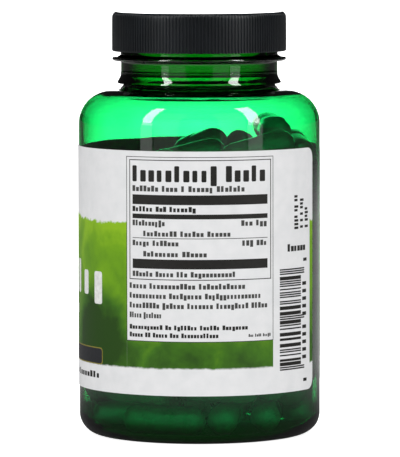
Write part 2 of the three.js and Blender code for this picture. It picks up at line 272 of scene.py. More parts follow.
def node(tree, kind, inputs=(), links=(), **settings):
    """Adds a node with its settings, the values of its sockets and the links that come into it."""
    made = tree.nodes.new(kind)
    for key, value in settings.items():
        setattr(made, key, value)
    for key, value in dict(inputs).items():
        made.inputs[key].default_value = value
    for key, source in dict(links).items():
        tree.links.new(source, made.inputs[key])
    return made


def new_material(name):
    """A material with its Principled shader and output, and the place on the object for its patterns."""
    material = bpy.data.materials.new(name)
    material.use_nodes = True
    tree = material.node_tree
    tree.nodes.clear()
    shader = tree.nodes.new("ShaderNodeBsdfPrincipled")
    output = tree.nodes.new("ShaderNodeOutputMaterial")
    tree.links.new(shader.outputs["BSDF"], output.inputs["Surface"])
    place = tree.nodes.new("ShaderNodeTexCoord").outputs["Object"]
    return material, tree, shader, output, place


def ramped(tree, number, *pairs):
    """A colour that runs through (number, colour) pairs."""
    made = node(tree, "ShaderNodeValToRGB", links={"Fac": number})
    ramp = made.color_ramp
    while len(ramp.elements) > 1:
        ramp.elements.remove(ramp.elements[0])
    ramp.elements[0].position = pairs[0][0]
    ramp.elements[0].color = pairs[0][1]
    for position, colour in pairs[1:]:
        ramp.elements.new(position).color = colour
    return made.outputs["Color"]


def bumped(tree, shader, height, strength, depth):
    """Gives a shader fine relief from a pattern of heights."""
    bump = node(tree, "ShaderNodeBump", {"Strength": strength, "Distance": depth}, {"Height": height})
    tree.links.new(bump.outputs["Normal"], shader.inputs["Normal"])


def noise_pattern(tree, place, size_mm, detail, distortion=0.0):
    """A noise over the object whose blobs are about this many millimetres across."""
    inputs = {"Scale": 1 / (size_mm * MM), "Detail": detail, "Distortion": distortion}
    return node(tree, "ShaderNodeTexNoise", inputs, {"Vector": place}).outputs["Fac"]


def shaded(colour, share):
    """A colour made darker or lighter by a share of itself."""
    return [min(1, c * share) for c in colour[:3]] + [1]


def product(tree, first, second):
    """One number times another."""
    return node(tree, "ShaderNodeMath", links={0: first, 1: second}, operation="MULTIPLY").outputs[0]


def total(tree, first, second):
    """One number plus another."""
    return node(tree, "ShaderNodeMath", links={0: first, 1: second}, operation="ADD").outputs[0]


def ramp_node(tree, value, low, high, start, end):
    """A smooth rise or fall of a value between two places."""
    made = node(
        tree, "ShaderNodeMapRange",
        {"From Min": low, "From Max": high, "To Min": start, "To Max": end}, {"Value": value},
        interpolation_type="SMOOTHSTEP",
    )
    return made.outputs["Result"]


def clear_green_pet(settings):
    """Blown PET, dyed green: clear and glossy, deeper in colour where it is thicker or seen edge on."""
    material, tree, shader, output, place = new_material("blown_green_pet")
    shader.inputs["Base Color"].default_value = (1, 1, 1, 1)
    shader.inputs["Roughness"].default_value = 0.03
    shader.inputs["IOR"].default_value = 1.575
    shader.inputs["Transmission Weight"].default_value = 1.0
    # Blowing leaves a wall that wanders by hundredths of a millimetre, which bends what is seen through it.
    wander = noise_pattern(tree, place, 14, 1.5)
    bumped(tree, shader, wander, 0.12, 0.6 * MM)
    absorb = node(
        tree, "ShaderNodeVolumeAbsorption", {"Color": (*settings.tint, 1), "Density": settings.depth},
    )
    tree.links.new(absorb.outputs["Volume"], output.inputs["Volume"])
    return material


def black_polypropylene(settings):
    """Moulded black polypropylene: a satin side with the tooth of a spark-eroded mould, a polished top."""
    material, tree, shader, _, place = new_material("moulded_black_polypropylene")
    shader.inputs["IOR"].default_value = 1.49
    shader.inputs["Specular IOR Level"].default_value = 0.38
    tooth = noise_pattern(tree, place, 0.25, 3.0)
    cloud = noise_pattern(tree, place, 9, 4.0)
    shade = ramped(tree, cloud, (0.35, shaded(settings.colour, 0.8)), (0.7, shaded(settings.colour, 1.35)))
    tree.links.new(shade, shader.inputs["Base Color"])
    gloss = node(tree, "ShaderNodeMapRange", {"To Min": 0.38, "To Max": 0.5}, {"Value": cloud})
    axes = node(tree, "ShaderNodeSeparateXYZ", links={"Vector": place})
    top_face = CAP_BOX[1].z - 0.02 * MM
    on_top = node(tree, "ShaderNodeMath", {1: top_face}, {0: axes.outputs["Z"]}, operation="GREATER_THAN")
    finish = node(
        tree, "ShaderNodeMix",
        links={"Factor": on_top.outputs[0], "A": gloss.outputs["Result"]}, data_type="FLOAT",
    )
    polish = 0.05
    finish.inputs["B"].default_value = polish
    tree.links.new(finish.outputs["Result"], shader.inputs["Roughness"])
    off_top = node(tree, "ShaderNodeMath", {0: 1.0}, {1: on_top.outputs[0]}, operation="SUBTRACT")
    bumped(tree, shader, product(tree, tooth, off_top.outputs[0]), 0.12, 0.05 * MM)
    return material


def pulp_board():
    """Waxed pulp board: off-white and matt, with a faint grain of fibres."""
    material, tree, shader, _, place = new_material("waxed_pulp_board")
    shader.inputs["Roughness"].default_value = 0.75
    fibre = noise_pattern(tree, place, 0.8, 6.0)
    shade = ramped(tree, fibre, (0.3, linear("d6cfbf")), (0.7, linear("efeae0")))
    tree.links.new(shade, shader.inputs["Base Color"])
    bumped(tree, shader, fibre, 0.3, 0.05 * MM)
    return material


# Places on the label: millimetres along the arc from the near side towards +X, and heights over the table
PANEL = (-20.9, 21.2, 28.0)
COLUMN_END = 37.1
FIELD_LOW = 20.8
FIELD_HIGH = 60.6


def label_film():
    """Coated label film: bright white with a soft sheen, printed with a green band that fades upwards."""
    material, tree, shader, _, place = new_material("coated_label_film")
    shader.inputs["Roughness"].default_value = 0.5
    shader.inputs["Specular IOR Level"].default_value = 0.2

    def math_node(operation, first, second=0.0, third=0.0):
        """A calculation with numbers or other nodes' outputs."""
        made = node(tree, "ShaderNodeMath", operation=operation)
        for socket, value in zip(made.inputs, (first, second, third)):
            if isinstance(value, (int, float)):
                socket.default_value = value
            else:
                tree.links.new(value, socket)
        return made.outputs[0]

    axes = node(tree, "ShaderNodeSeparateXYZ", links={"Vector": place})
    back_y = math_node("MULTIPLY", axes.outputs["Y"], -1.0)
    angle = math_node("ARCTAN2", axes.outputs["X"], back_y)
    along = math_node("MULTIPLY", angle, LABEL_BOX[1].y / MM)
    height = math_node("MULTIPLY", axes.outputs["Z"], 1 / MM)

    # The band's edges: a slow wave and a brushed fringe
    wave = math_node("MULTIPLY", math_node("SINE", math_node("MULTIPLY_ADD", angle, 3.0, 1.2)), 1.1)
    fringe = noise_pattern(tree, place, 1.8, 5.0)
    rough = math_node("MULTIPLY_ADD", fringe, 2.6, -1.3)
    top = math_node("ADD", math_node("ADD", wave, rough), FIELD_HIGH)
    low = math_node("MULTIPLY_ADD", rough, 0.35, FIELD_LOW)

    def between(value, start, end, soft):
        """1 from start to end and 0 outside, with soft edges."""
        sides = []
        for edge, before, after in ((start, 0.0, 1.0), (end, 1.0, 0.0)):
            made = node(
                tree, "ShaderNodeMapRange", {"To Min": before, "To Max": after}, {"Value": value},
                interpolation_type="SMOOTHSTEP",
            )
            for socket, shift in (("From Min", -soft), ("From Max", soft)):
                if isinstance(edge, (int, float)):
                    made.inputs[socket].default_value = edge + shift
                else:
                    tree.links.new(math_node("ADD", edge, shift), made.inputs[socket])
            sides.append(made.outputs[0])
        return math_node("MULTIPLY", *sides)

    panel_left, panel_right, panel_low = PANEL
    past_ends, crisp = 300.0, 0.03
    band = between(height, low, top, 0.35)
    left = between(along, -past_ends, panel_left, crisp)
    under = math_node(
        "MULTIPLY", between(along, panel_left, panel_right, crisp), between(height, 0.0, panel_low, crisp),
    )
    beyond = between(along, COLUMN_END, past_ends, crisp)
    printed = math_node("MULTIPLY", math_node("MAXIMUM", math_node("MAXIMUM", left, under), beyond), band)

    # The green deepens downwards and is mottled like out-of-focus leaves
    mottle = noise_pattern(tree, place, 11, 4.0, distortion=0.8)
    fine = noise_pattern(tree, place, 2.2, 3.0)
    rise = node(
        tree, "ShaderNodeMapRange", {"From Min": FIELD_LOW, "From Max": FIELD_HIGH}, {"Value": height},
    )
    mixed = math_node("MULTIPLY_ADD", mottle, 0.75, math_node("MULTIPLY", rise.outputs[0], 0.7))
    mixed = math_node("MULTIPLY_ADD", fine, 0.18, mixed)
    # A darker patch beside the panel: its place, and how far it reaches sideways and up
    shadow_along, shadow_height, shadow_wide, shadow_tall = -33.0, 31.0, 14, 15
    aside = math_node("MULTIPLY_ADD", along, 1 / shadow_wide, -shadow_along / shadow_wide)
    above = math_node("MULTIPLY_ADD", height, 1 / shadow_tall, -shadow_height / shadow_tall)
    off_shadow = math_node("ADD", math_node("POWER", aside, 2.0), math_node("POWER", above, 2.0))
    dim = node(
        tree, "ShaderNodeMapRange", {"From Max": 1.0, "To Min": 0.42, "To Max": 0.0},
        {"Value": off_shadow}, interpolation_type="SMOOTHSTEP",
    )
    mixed = math_node("SUBTRACT", mixed, dim.outputs[0])
    green = ramped(
        tree, math_node("ADD", mixed, -0.22), (0.1, linear("284c10")), (0.32, linear("3f7312")),
        (0.55, linear("5f9410")), (0.78, linear("76ab0c")), (0.95, linear("90c016")),
    )
    stock = noise_pattern(tree, place, 3.5, 4.0)
    paper = ramped(tree, stock, (0.3, linear("e6e7e8")), (0.7, linear("eeeeef")))
    colour = node(
        tree, "ShaderNodeMix", links={"Factor": printed, "A": paper, "B": green}, data_type="RGBA",
    )
    tree.links.new(colour.outputs["Result"], shader.inputs["Base Color"])
    bumped(tree, shader, stock, 0.06, 0.05 * MM)
    return material


def printed_ink(name, colour):
    """Flexographic ink on coated film: flat colour with a slight mottle and the film's sheen."""
    material, tree, shader, _, place = new_material(name)
    shader.inputs["Roughness"].default_value = 0.5
    shader.inputs["Specular IOR Level"].default_value = 0.25
    mottle = noise_pattern(tree, place, 0.9, 4.0)
    spread = 0.12
    shade = ramped(tree, mottle, (0.3, shaded(colour, 1 - spread)), (0.7, shaded(colour, 1 + spread)))
    tree.links.new(shade, shader.inputs["Base Color"])
    return material


def filled_capsule():
    """A clear cellulose capsule full of dark fruit powder: a wet gloss over a speckled purple brown."""
    material, tree, shader, _, place = new_material("clear_cellulose_over_powder")
    shader.inputs["Roughness"].default_value = 0.55
    shader.inputs["Coat Weight"].default_value = 1.0
    shader.inputs["Coat Roughness"].default_value = 0.06
    shader.inputs["Coat IOR"].default_value = 1.5
    speck = noise_pattern(tree, place, 0.5, 5.0)
    cloud = noise_pattern(tree, place, 5, 2.0)
    shade = ramped(tree, total(tree, speck, cloud), (0.55, linear("4a3634")), (0.95, linear("7a625c")))
    tree.links.new(shade, shader.inputs["Base Color"])
    return material


# Pieces


def bottle_profile(body, wall):
    """The bottle's section in millimetres: up the outside from the base, over the lip and down the inside."""
    inner = body - wall
    heel = 5.7
    dome_edge, dome = 23.6, 4.6
    base = 1.4
    shoulder, shoulder_top = 9.0, 94.0
    centre, start = body - shoulder, shoulder_top - shoulder
    neck, bore = 21.35, 19.2
    ring, ring_low, ring_round = 23.72, 102.15, 0.55
    lip = BOTTLE_TOP / MM

    def push_up(radius):
        """How high the base is pushed up at a distance from the axis."""
        return dome * max(0, 1 - (radius / dome_edge) ** 2)

    # Blowing leaves the shoulder thicker towards the neck: its inside ends in a shelf that sinks inwards.
    shelf_angle = 73
    shelf = start + (shoulder - wall) * math.sin(math.radians(shelf_angle))

    base_rings = (0.0, 2.0, 5.0, 8.0, 11.0, 14.0, 17.0, 19.5, 21.5, 23.0, 24.2)
    shoulder_slope = [(27.2, 93.42), (26.3, 93.8), (25.2, 94.16), (24.0, 94.44), (22.9, 94.63), (22.1, 94.76)]
    undercut = [
        (21.6, 94.88), (21.15, 95.08), (20.85, 95.32), (20.75, 95.5),
        (21.0, 95.72), (21.6, 95.9), (22.2, 95.98),
    ]
    flange = [
        (22.38, 96.08), (22.36, 96.3), (22.2, 96.6), (22.0, 96.95), (21.8, 97.3), (21.62, 97.65),
        (21.48, 98.0), (21.42, 98.4), (21.42, 99.15), (21.36, 99.2), (neck, 99.25),
    ]
    carrying_ring = [
        *arc(neck + 0.35, 101.85, 0.35, 180, 90, 4),
        *arc(ring - ring_round, ring_low + ring_round, ring_round, -90, 72, 9),
        (22.5, 103.45), (21.7, 103.68), (21.45, 103.85), (21.42, 104.6), (neck, 105.0),
    ]
    mouth = [
        (neck, 112.5), *arc(neck - 0.6, lip - 0.6, 0.6, 0, 90, 5),
        *arc(bore + 0.3, lip - 0.3, 0.3, 90, 180, 3),
    ]
    outside = [
        *[(r, push_up(r)) for r in base_rings],
        *arc(body - heel, heel, heel, -90, 0, 14),
        *rows(body, heel, start, 6.0),
        *arc(centre, start, shoulder, 0, 64, 18),
        *shoulder_slope, *undercut, *flange,
        *rows(neck, 99.3, 101.9, 0.65),
        *carrying_ring,
        *rows(neck, 105.0, 112.4, 0.22),
    ]
    inside = [
        *rows(bore, lip - 0.4, shelf + 0.9, 3.0),
        *arc(bore + 1.2, shelf + 0.8, 1.2, 180, 266, 8),
        (21.6, shelf - 0.32), (22.8, shelf - 0.24), (24.2, shelf - 0.12),
        *arc(centre, start, shoulder - wall, shelf_angle, 0, 24),
        *rows(inner, start, base + heel, 5.0),
        *arc(body - heel, base + heel - wall, heel - wall, 0, -90, 12),
        *[(r, base + push_up(r)) for r in reversed(base_rings)],
    ]
    return outside + mouth + inside


def add_bottle(settings):
    """The blown bottle, with its neck thread, its parting line and a wall that wanders a little."""
    body, wall = settings.body_radius / MM, settings.wall / MM
    bm = spun(bottle_profile(body, wall), 224)
    thread = ridge(start=THREAD_START, turns=1.0, pitch=THREAD_PITCH, root=2.2, crest=0.9)
    neck, thread_height = 21.25, 1.1
    pushed_out(
        bm, lambda r, z: abs(r - neck) < 0.2 and 105.1 < z < 112.45,
        lambda r, turn, z: thread_height * thread(turn, z),
    )

    def wanders(radius, height):
        """Chooses the wall's inner surface, and both surfaces of the heel and the shoulder."""
        return 2 < height < 93 and radius < body - wall * 0.6 and radius > 24

    def wander(_, turn, height):
        """How far the wall wanders at one place."""
        angle = turn * math.tau
        spot = Vector((math.cos(angle) * 1.6, math.sin(angle) * 1.6, height / 22))
        return 0.13 * noise.noise(spot) + 0.05 * noise.noise(spot * 2.7)

    pushed_out(bm, wanders, wander)

    def seam(_, turn, height):
        """A faint ridge up two opposite sides, where the mould parts."""
        off = abs(((turn * 2 + 0.37) % 1) - 0.5) / 2 * math.tau * body
        return 0.05 * max(0, 1 - off / 1.0)

    pushed_out(bm, lambda r, z: r > body - 0.05 and 7 < z < 84, seam)
    piece = finished("bottle_blown", bm, clear_green_pet(settings), "bottle", 50)
    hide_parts("bottle")


def add_cap(settings):
    """The ribbed screw cap, with its own thread inside."""
    low, high = CAP_BOX[0].z / MM, CAP_BOX[1].z / MM
    outer, bore = CAP_BOX[1].x / MM, 22.8
    top_skin, edge = 1.2, 1.5
    ceiling = high - top_skin
    outside = [
        (0, high), (outer - 5.0, high), (outer - edge, high),
        *arc(outer - edge - 0.05, high - edge, edge, 78, 6, 7),
        (outer - 0.02, high - edge - 0.4), (outer, (low + high) / 2), (outer, low + 0.5),
        (outer - 0.02, low + 0.25), (outer - 0.2, low),
    ]
    inside = [
        (bore + 0.12, low), (bore, low + 0.15),
        *rows(bore, low + 0.15, ceiling - 0.4, 0.36),
        (bore, ceiling - 0.4), (bore - 0.4, ceiling), (0, ceiling),
    ]
    points_each_rib = 6
    bm = spun(outside + inside, settings.rib_count * points_each_rib)
    depth = settings.rib_depth / MM

    def groove(_, turn, height):
        """The grooves between the ribs, which run out at the top edge."""
        phase = (turn * settings.rib_count) % 1
        hollow = min(1, max(0, 0.5 - 1.25 * math.cos(phase * math.tau)))
        return -depth * hollow * min(1, (high + 0.1 - height) / 0.9)

    pushed_out(bm, lambda r, z: r > outer - edge + 0.1 and z > low + 0.2, groove)
    thread = ridge(start=THREAD_START - 1.75, turns=1.125, pitch=THREAD_PITCH, root=1.5, crest=0.6)
    thread_height = 1.05
    pushed_out(
        bm, lambda r, z: abs(r - bore) < 0.05 and z < ceiling - 0.3,
        lambda r, turn, z: -thread_height * thread(turn, z),
    )
    piece = finished("cap_moulded", bm, black_polypropylene(settings), "cap", 50)
    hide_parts("cap")


def add_liner():
    """The sealing disc inside the cap, with a ring pressed in where it meets the bottle's lip."""
    low, high = LINER_BOX[0].z / MM, LINER_BOX[1].z / MM
    radius = LINER_BOX[1].x / MM
    dent = 0.08
    profile = [
        (0, low), (18.9, low), (19.3, low + dent), (21.1, low + dent), (21.5, low), (radius - 0.15, low),
        (radius, low + 0.15), (radius, high - 0.15), (radius - 0.15, high), (0, high),
    ]
    piece = finished("liner_disc", spun(profile, 160), pulp_board(), "lift")
    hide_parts("cap_liner")


class Drawing:
    """Flat print, laid out along the label's arc and height in millimetres, then bent round the bottle."""

    def __init__(self, proud):
        """Starts an empty drawing whose ink stands this many millimetres proud."""
        self.bm = bmesh.new()
        self.proud = proud

    def block(self, left, right, low, high, corner=0.0):
        """A plain block of ink, its corners rounded where that is asked for."""
        sunk = 0.02
        size = Vector(((right - left), self.proud + sunk, high - low)) * MM
        middle = Vector(((left + right) / 2, (self.proud - sunk) / 2, (low + high) / 2)) * MM
        place = Matrix.Translation(middle) @ Matrix.Diagonal((*size, 1))
        made = bmesh.ops.create_cube(self.bm, size=1, matrix=place)["verts"]
        if corner:
            edges = {e for v in made for e in v.link_edges}
            corners = [e for e in edges if abs(e.verts[0].co.y - e.verts[1].co.y) > 1e-6]
            bmesh.ops.bevel(
                self.bm, geom=corners, offset=corner * MM, segments=3, affect="EDGES", profile=0.5,
                material=-1,
            )

    def frame(self, left, right, low, high, line):
        """A thin frame of four lines."""
        self.block(left, right, high - line, high)
        self.block(left, right, low, low + line)
        self.block(left, left + line, low + line, high - line)
        self.block(right - line, right, low + line, high - line)

    def words(self, left, right, low, size, letters, draw, bold=0.76, corner=0.0):
        """A line of words, each a row of plain blocks."""
        gap = 0.7
        pitch = (right - left) / (sum(letters) + gap * (len(letters) - 1))
        at = left
        for count in letters:
            for place in range(count):
                tall = 1.0 if place == 0 or draw.random() < 0.22 else 0.72
                drop = 0.24 if draw.random() < 0.08 else 0.0
                wide = pitch * bold * draw.choice((1.0, 1.0, 0.8))
                self.block(at, at + wide, low - drop * size, low + tall * size, corner)
                at += pitch
            at += gap * pitch

    def leaf(self, left, low, length, width, lean):
        """A pointed leaf, drawn from a disc that is stretched and drawn in at its ends."""
        made = bmesh.ops.create_circle(self.bm, cap_ends=True, segments=28, radius=1.0)["verts"]
        for vert in made:
            reach = vert.co.x
            vert.co = (reach * length / 2, 0, vert.co.y * width / 2 * (1 - reach * reach) ** 0.35)
        faces = list({f for v in made for f in v.link_faces})
        top = bmesh.ops.extrude_face_region(self.bm, geom=faces)["geom"]
        lifted = [v for v in top if isinstance(v, bmesh.types.BMVert)]
        bmesh.ops.translate(self.bm, verts=lifted, vec=(0, self.proud + 0.02, 0))
        both = made + lifted
        bmesh.ops.translate(self.bm, verts=both, vec=(length / 2, -0.02, 0))
        bmesh.ops.rotate(self.bm, verts=both, cent=(0, 0, 0), matrix=Matrix.Rotation(-lean, 3, "Y"))
        bmesh.ops.translate(self.bm, verts=both, vec=(left, 0, low))
        bmesh.ops.scale(self.bm, verts=both, vec=(MM, MM, MM))

    def printed(self, name, material, radius):
        """Bends the drawing round the bottle and makes it a piece."""
        sliced(self.bm, 1.4 * MM)
        wrapped(self.bm, radius)
        return finished(name, self.bm, material, "bottle", 20)


LABEL_RADIUS = LABEL_BOX[1].y - 0.05 * MM
LABEL_LEFT = -266.6
LABEL_RIGHT = 67.4
FRONT = -67.0  # the front panel's middle, along the arc
LEFT_PANEL = (-148.5, -108.0)


def add_label_sheet(settings):
    """The label itself: a die-cut sheet with round corners, wrapped most of the way round."""
    low, high = LABEL_BOX[0].z, LABEL_BOX[1].z
    left, right = (math.radians(a) * LABEL_RADIUS for a in (LABEL_LEFT, LABEL_RIGHT))
    bm = bmesh.new()
    corners = [bm.verts.new((x, 0, z)) for x, z in ((left, low), (right, low), (right, high), (left, high))]
    bm.faces.new(corners)
    bmesh.ops.bevel(
        bm, geom=corners, offset=settings.corner * (2 - math.sqrt(2)) * 1.707, segments=7, affect="VERTICES",
        profile=0.5, material=-1,
    )
    made = bmesh.ops.extrude_face_region(bm, geom=bm.faces[:])["geom"]
    lifted = [v for v in made if isinstance(v, bmesh.types.BMVert)]
    bmesh.ops.translate(bm, verts=lifted, vec=(0, -settings.thickness, 0))
    sliced(bm, 1.4 * MM)
    wrapped(bm, LABEL_RADIUS)
    piece = finished("label_sheet", bm, label_film(), "bottle", 30)
    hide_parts("label")


def draw_facts_panel(dark, grey, draw):
    """The white panel of facts: two thin frames, heavy rules and lines of plain word blocks."""
    left, right, low = PANEL
    dark.frame(left, right, low, 77.6, 0.16)
    dark.frame(left + 1.0, right - 0.75, 44.6, 76.8, 0.22)
    start, end = -18.9, 19.3
    dark.words(start, end, 70.9, 4.3, (10, 5), draw, bold=0.68, corner=0.3)
    grey.words(start, 12.6, 68.3, 1.55, (7, 4, 1, 6, 7), draw)
    dark.block(start, end, 64.8, 67.4)
    dark.words(start, -0.8, 62.9, 1.4, (6, 3, 7), draw, bold=0.82)
    dark.block(start, end, 61.0, 62.25)
    grey.words(start, -9.2, 59.1, 1.5, (10,), draw)
    grey.words(11.4, end, 59.1, 1.5, (3, 3), draw)
    grey.words(-15.6, 8.6, 56.3, 1.45, (9, 6, 6), draw)
    dark.block(start, end, 55.7, 55.86)
    grey.words(start, -5.4, 53.75, 1.45, (5, 7), draw)
    grey.words(11.7, end, 53.75, 1.45, (3, 3), draw)
    grey.words(-15.6, 2.2, 50.85, 1.45, (9, 6), draw)
    dark.block(start, end, 47.6, 50.15)
    grey.words(start, 10.0, 45.45, 1.45, (6, 5, 3, 12), draw)
    lines = ((12.7, (5, 12, 12)), (17.4, (11, 9, 16)), (19.4, (9, 6, 7, 9, 5)), (-10.2, (5, 7)))
    for row, (reach, letters) in enumerate(lines):
        grey.words(-19.9, reach, 42.2 - 2.62 * row, 1.5, letters, draw)
    dark.words(-19.9, 13.4, 31.25, 1.25, (11, 2, 7, 6, 8), draw, bold=0.82)
    dark.words(-19.9, 5.2, 29.15, 1.25, (5, 2, 5, 3, 12), draw, bold=0.78)
    grey.words(13.5, 20.4, 29.2, 0.8, (3, 4, 5), draw)


def draw_code_column(dark, grey, draw):
    """The white column beside it: made-up bars on their side, and small blocks in rows."""
    left, right, guard = 23.5, 32.2, 33.9
    low, high = 19.5, 47.25
    unit = 0.297
    at, place = low, 0
    while at < high - unit:
        bar = unit * draw.choice((1, 1, 2, 3))
        space = unit * draw.choice((1, 1, 2, 2, 3))
        edge = place < 2 or high - at < 2.0 or abs(at - (low + high) / 2) < 0.7
        if edge:
            bar, space = unit, unit
        dark.block(left, guard if edge else right, at, min(at + bar + 0.08, high))
        at += bar + space
        place += 1
    for digit in range(10):
        offset = low + 2.6 + digit * 2.05 + (1.5 if digit >= 5 else 0)
        dark.block(32.9, 34.9, offset, offset + 0.95)
    for spot in (low - 3.6, high + 1.3):
        dark.block(33.4, 35.2, spot, spot + 0.85)
    dark.words(26.4, 34.6, 51.5, 2.0, (6,), draw, bold=0.84)
    for column, (bottom, top) in ((29.2, (57.4, 66.2)), (31.8, (57.6, 65.0)), (34.2, (57.6, 63.2))):
        spot = bottom
        while spot < top:
            dark.block(column, column + draw.choice((1.4, 1.75)), spot, spot + 0.66)
            spot += draw.choice((1.0, 1.0, 1.75))


def draw_front(white, gold, tag, leaf, dark, draw):
    """The front: plain white word blocks, a sprig of leaves and a dark tag with a gold outline."""
    half = 39.5
    white.words(FRONT - half, FRONT + half, 39.3, 9.2, (12,), draw, bold=0.56, corner=0.7)
    white.words(FRONT - 20, FRONT + 20, 33.4, 2.6, (4, 8), draw, bold=0.7, corner=0.25)
    right, left = -30.2, 2 * FRONT + 30.2
    low, high = 20.7, 25.3
    gold.block(left, right, low, high, corner=0.9)
    tag.block(left + 0.28, right - 0.28, low + 0.28, high - 0.28, corner=0.75)
    white.words(left + 5, right - 1.6, 22.2, 1.75, (4, 10, 4, 7), draw, bold=0.7)
    dark.words(FRONT + 14, -31.2, 17.0, 1.7, (3, 8), draw, bold=0.72)
    dark.words(left + 1, FRONT - 14, 17.0, 1.7, (7, 4), draw, bold=0.72)
    # A sprig on the white above the band, in pairs of leaves up a stem
    stem_low, stem_high = 61.5, 74.5
    leaf.block(FRONT - 0.18, FRONT + 0.18, stem_low, stem_high - 3)
    for pair in range(4):
        height = stem_low + 1.2 + pair * 2.7
        length = 6.6 - pair * 0.9
        leaf.leaf(FRONT + 0.2, height, length, 2.3 - pair * 0.2, math.radians(38))
        leaf.leaf(FRONT - 0.2, height, length, 2.3 - pair * 0.2, math.radians(142))
    leaf.leaf(FRONT, stem_high - 3.4, 4.6, 1.9, math.radians(90))


def draw_left_panel(white, dark, draw):
    """The panel on the far side: lines of small white blocks on the green and dark ones on the white."""
    left, right = LEFT_PANEL
    dark.words(left, left + 22, 72.5, 2.0, (10,), draw, corner=0.12)
    for row in range(3):
        letters = [draw.randint(3, 9) for _ in range(5)]
        dark.words(left, right - draw.random() * 5, 69.0 - row * 2.5, 1.2, letters, draw, bold=0.5)
    white.words(left, left + 17, 54.5, 1.9, (8,), draw, corner=0.12)
    for row in range(11):
        letters = [draw.randint(2, 10) for _ in range(5)]
        reach = right - draw.random() * (4 if row % 4 != 3 else 22)
        white.words(left, reach, 51.3 - row * 2.6, 1.15, letters, draw, bold=0.5)


def add_label_print(settings):
    """All the print on the label, as ink that stands a few hundredths of a millimetre proud."""
    draw = random.Random(11)
    inks = {
        "print_dark": (0.018, "dark_ink", (*settings.ink, 1)),
        "print_grey": (0.018, "grey_ink", linear("444442")),
        "print_white": (0.018, "white_ink", linear("e8e9e6")),
        "print_gold": (0.016, "gold_ink", linear("8c8232")),
        "print_tag": (0.03, "slate_ink", linear("2b2c30")),
        "print_leaf": (0.018, "leaf_ink", linear("4d8a1e")),
    }
    sheets = {name: Drawing(proud) for name, (proud, _, _) in inks.items()}
    dark, grey, white, gold, tag, leaf = (sheets[name] for name in inks)
    draw_facts_panel(dark, grey, draw)
    draw_code_column(dark, grey, draw)
    draw_front(white, gold, tag, leaf, dark, draw)
    draw_left_panel(white, dark, draw)
    for name, (_, ink, colour) in inks.items():
        sheets[name].printed(name, printed_ink(ink, colour), LABEL_RADIUS)


def capsule_axis(solid):
    """The middle, the direction and the length of a capsule, from its CAD solid's farthest corners."""
    points = [v.co for v in solid.data.vertices]
    first = max(points, key=lambda p: (p - points[0]).length)
    last = max(points, key=lambda p: (p - first).length)
    return (first + last) / 2, (last - first).normalized(), (last - first).length


def capsule_mesh(radius, sleeve, length):
    """A two-part capsule along Z: a long half, and a shorter half that slides over it, closed by domes."""
    r, s = radius / MM, sleeve / MM
    half = length / MM / 2
    lip = half * 0.12
    profile = [
        *arc(0, -half + r, r, -90, 0, 7),
        (r, -half / 3), (r, lip - 0.05), (r + s * 0.6, lip - 0.05), (r + s, lip + 0.06), (r + s, half / 2),
        *arc(0, half - r - s, r + s, 0, 90, 7),
    ]
    profile[0] = (0, profile[0][1])
    profile[-1] = (0, profile[-1][1])
    return spun(profile, 28)


def add_capsules(settings):
    """The capsules that can be seen, each a two-part one on its solid's axis, and the heap behind them."""
    shell = filled_capsule()
    for name, solid in sorted(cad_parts.items()):
        if not name.startswith("capsule_") or name == "capsule_heap":
            continue
        middle, along, length = capsule_axis(solid)
        if int(name.rsplit("_", 1)[1]) % 2:
            along = -along
        bm = capsule_mesh(settings.radius, settings.sleeve, length)
        turn = Vector((0, 0, 1)).rotation_difference(along).to_matrix().to_4x4()
        bmesh.ops.transform(bm, verts=bm.verts, matrix=Matrix.Translation(middle) @ turn)
        piece = finished(name.replace("capsule", "filled_capsule"), bm, shell, "bottle", 60)
        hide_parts(name)
    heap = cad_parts["capsule_heap"]
    heap.data.materials.clear()
    heap.data.materials.append(shell)


# Light and stage

BACKLIGHT = 5.2  # how bright the white behind the bottle is, to the light that comes through it
AMBIENT = 0.95  # the soft light from all round
FRONT_GLOW = 3.0  # what light from the camera's side brings through the plastic
# How far to the side the white behind reaches, as slopes where it starts to fall and where it ends:
# to light that comes through the plastic, and to its gloss
WIDE = (0.16, 0.42)
NARROW = (0.04, 0.1)


def area_light(name, place, size, energy, target):
    """A rectangle of light that faces its target and isn't seen itself."""
    data = bpy.data.lights.new(name, "AREA")
    data.shape = "RECTANGLE"
    data.size, data.size_y = size
    data.energy = energy
    light = bpy.data.objects.new(name, data)
    light.location = place
    aim = Vector(target) - Vector(place)
    light.rotation_euler = aim.to_track_quat("-Z", "Y").to_euler()
    light.visible_camera = False
    light.visible_transmission = False
    bpy.context.scene.collection.objects.link(light)
    return light


def soft_box(name, azimuth, low, high, degrees, radiance, distance=1.1):
    """A light box beside the camera that faces the bottle and shows only in its gloss.

    Azimuth is from the near side towards +X, and low and high are elevations, all in degrees.
    """
    angle, rise = math.radians(azimuth), math.radians((low + high) / 2)
    aim = Vector((0, 0, 0.09))
    out = Vector((math.cos(rise) * math.sin(angle), -math.cos(rise) * math.cos(angle), math.sin(rise)))
    tall = 2 * distance * math.tan(math.radians(high - low) / 2)
    wide = 2 * distance * math.cos(rise) * math.tan(math.radians(degrees) / 2)
    box = area_light(name, aim + out * distance, (wide, tall), radiance * math.pi * wide * tall, aim)
    box.visible_diffuse = False
    return box


def sideways(tree, axes):
    """How far a direction or a place lies off the line straight behind the bottle, as a slope."""
    off = node(tree, "ShaderNodeMath", links={0: axes.outputs["X"]}, operation="ABSOLUTE").outputs[0]
    depth = node(tree, "ShaderNodeMath", {1: 0.001}, {0: axes.outputs["Y"]}, operation="MAXIMUM").outputs[0]
    return node(tree, "ShaderNodeMath", links={0: off, 1: depth}, operation="DIVIDE").outputs[0]


